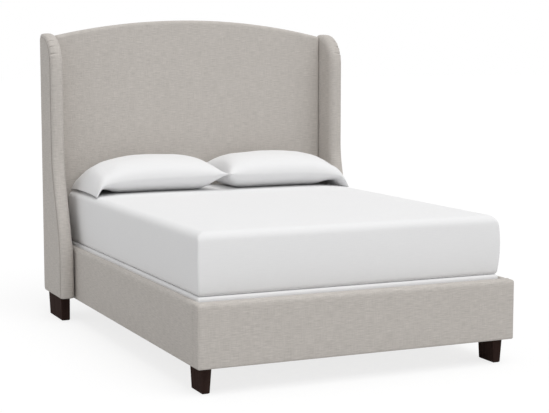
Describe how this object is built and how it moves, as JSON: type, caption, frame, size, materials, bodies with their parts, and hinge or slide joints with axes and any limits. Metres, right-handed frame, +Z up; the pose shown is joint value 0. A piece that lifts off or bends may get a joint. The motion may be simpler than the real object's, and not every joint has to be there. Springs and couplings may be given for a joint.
{
  "type": "upholstered bed",
  "caption": "Upholstered wing bed with an arched headboard, padded rails, dark tapered legs, slats, levelling feet, foundation, mattress and pillows.",
  "frame": {"origin": "on the floor under the middle of the bed's overall box", "axes": "+Y from the foot end to the headboard, +X to the right seen from the foot end, +Z up"},
  "size_m": [1.772, 2.18, 1.6448],
  "materials": {
    "linen": "light warm grey woven linen look, with fine slubs",
    "dust_cloth": "black spun dust cloth",
    "pine": "sawn pine",
    "plywood": "plain plywood",
    "foam": "cream foam",
    "core_foam": "pale blue firm foam",
    "dark_wood": "dark espresso stain, satin",
    "felt": "grey felt",
    "zinc_steel": "zinc plated",
    "black_plastic": "matte black",
    "white_ticking": "white knitted ticking, matte",
    "white_cotton": "white woven cotton, matte",
    "pillow_ticking": "white cotton ticking"
  },
  "bodies": {
    "bed_frame": {"headboard_frame": "pine", "headboard_panel": "plywood", "headboard_foam": "foam", "headboard_cover": "linen", "headboard_back_cloth": "dust_cloth", "left_wing_board": "plywood", "right_wing_board": "plywood", "left_wing_frame": "pine", "right_wing_frame": "pine", "left_wing_foam": "foam", "right_wing_foam": "foam", "left_wing_cover": "linen", "right_wing_cover": "linen", "left_wing_side_panel": "linen", "right_wing_side_panel": "linen", "left_rail_board": "pine", "right_rail_board": "pine", "foot_rail_board": "pine", "left_rail_padding": "foam", "right_rail_padding": "foam", "foot_rail_padding": "foam", "left_rail_cover": "linen", "right_rail_cover": "linen", "foot_rail_cover": "linen", "front_left_leg": "dark_wood", "front_right_leg": "dark_wood", "rear_left_leg": "dark_wood", "rear_right_leg": "dark_wood", "leg_pads": "felt", "leg_bolts": "zinc_steel", "corner_blocks": "pine", "corner_bolts": "zinc_steel", "wing_bolts": "zinc_steel", "rail_brackets": "zinc_steel", "bracket_screws": "zinc_steel", "cleats": "pine", "cleat_screws": "zinc_steel", "slats": "pine", "slat_screws": "zinc_steel", "centre_beam": "pine", "centre_legs": "pine", "stem_nuts": "zinc_steel"},
    "foundation": {"foundation_frame": "pine", "foundation_slats": "pine", "foundation_pad": "felt", "foundation_cover": "white_ticking"},
    "mattress": {"mattress_base_foam": "foam", "mattress_core": "core_foam", "mattress_comfort_foam": "foam", "mattress_cover": "white_ticking"},
    "left_pillow": {"left_pillow": "pillow_ticking", "left_pillowcase": "white_cotton"},
    "right_pillow": {"right_pillow": "pillow_ticking", "right_pillowcase": "white_cotton"},
    "levelling_pad_1": {"levelling_pad_1": "black_plastic"},
    "levelling_stem_1": {"levelling_stem_1": "zinc_steel"},
    "levelling_pad_2": {"levelling_pad_2": "black_plastic"},
    "levelling_stem_2": {"levelling_stem_2": "zinc_steel"},
    "levelling_pad_3": {"levelling_pad_3": "black_plastic"},
    "levelling_stem_3": {"levelling_stem_3": "zinc_steel"}
  },
  "joints": [
    {"name": "foundation_lift", "type": "slide", "parent": "bed_frame", "child": "foundation", "axis": [0, 0, 1], "range_m": [0, 0.3]},
    {"name": "mattress_lift", "type": "slide", "parent": "foundation", "child": "mattress", "axis": [0, 0, 1], "range_m": [0, 0.3]},
    {"name": "left_pillow_lift", "type": "slide", "parent": "mattress", "child": "left_pillow", "axis": [0, 0, 1], "range_m": [0, 0.3]},
    {"name": "right_pillow_lift", "type": "slide", "parent": "mattress", "child": "right_pillow", "axis": [0, 0, 1], "range_m": [0, 0.3]},
    {"name": "levelling_height_1", "type": "slide", "parent": "bed_frame", "child": "levelling_pad_1", "axis": [0, 0, 1], "range_m": [-0.008, 0.012]},
    {"name": "levelling_turn_1", "type": "hinge", "parent": "levelling_pad_1", "child": "levelling_stem_1", "pos_m": [0, -0.56, 0.009], "axis": [0, 0, 1], "range_deg": [-1925, 2885]},
    {"name": "levelling_height_2", "type": "slide", "parent": "bed_frame", "child": "levelling_pad_2", "axis": [0, 0, 1], "range_m": [-0.008, 0.012]},
    {"name": "levelling_turn_2", "type": "hinge", "parent": "levelling_pad_2", "child": "levelling_stem_2", "pos_m": [0, 0, 0.009], "axis": [0, 0, 1], "range_deg": [-1925, 2885]},
    {"name": "levelling_height_3", "type": "slide", "parent": "bed_frame", "child": "levelling_pad_3", "axis": [0, 0, 1], "range_m": [-0.008, 0.012]},
    {"name": "levelling_turn_3", "type": "hinge", "parent": "levelling_pad_3", "child": "levelling_stem_3", "pos_m": [0, 0.56, 0.009], "axis": [0, 0, 1], "range_deg": [-1925, 2885]}
  ],
  "couplings": [
    {"joint": "levelling_turn_1", "follows": "levelling_height_1", "rad_per_m": 4188.8},
    {"joint": "levelling_turn_2", "follows": "levelling_height_2", "rad_per_m": 4188.8},
    {"joint": "levelling_turn_3", "follows": "levelling_height_3", "rad_per_m": 4188.8}
  ]
}
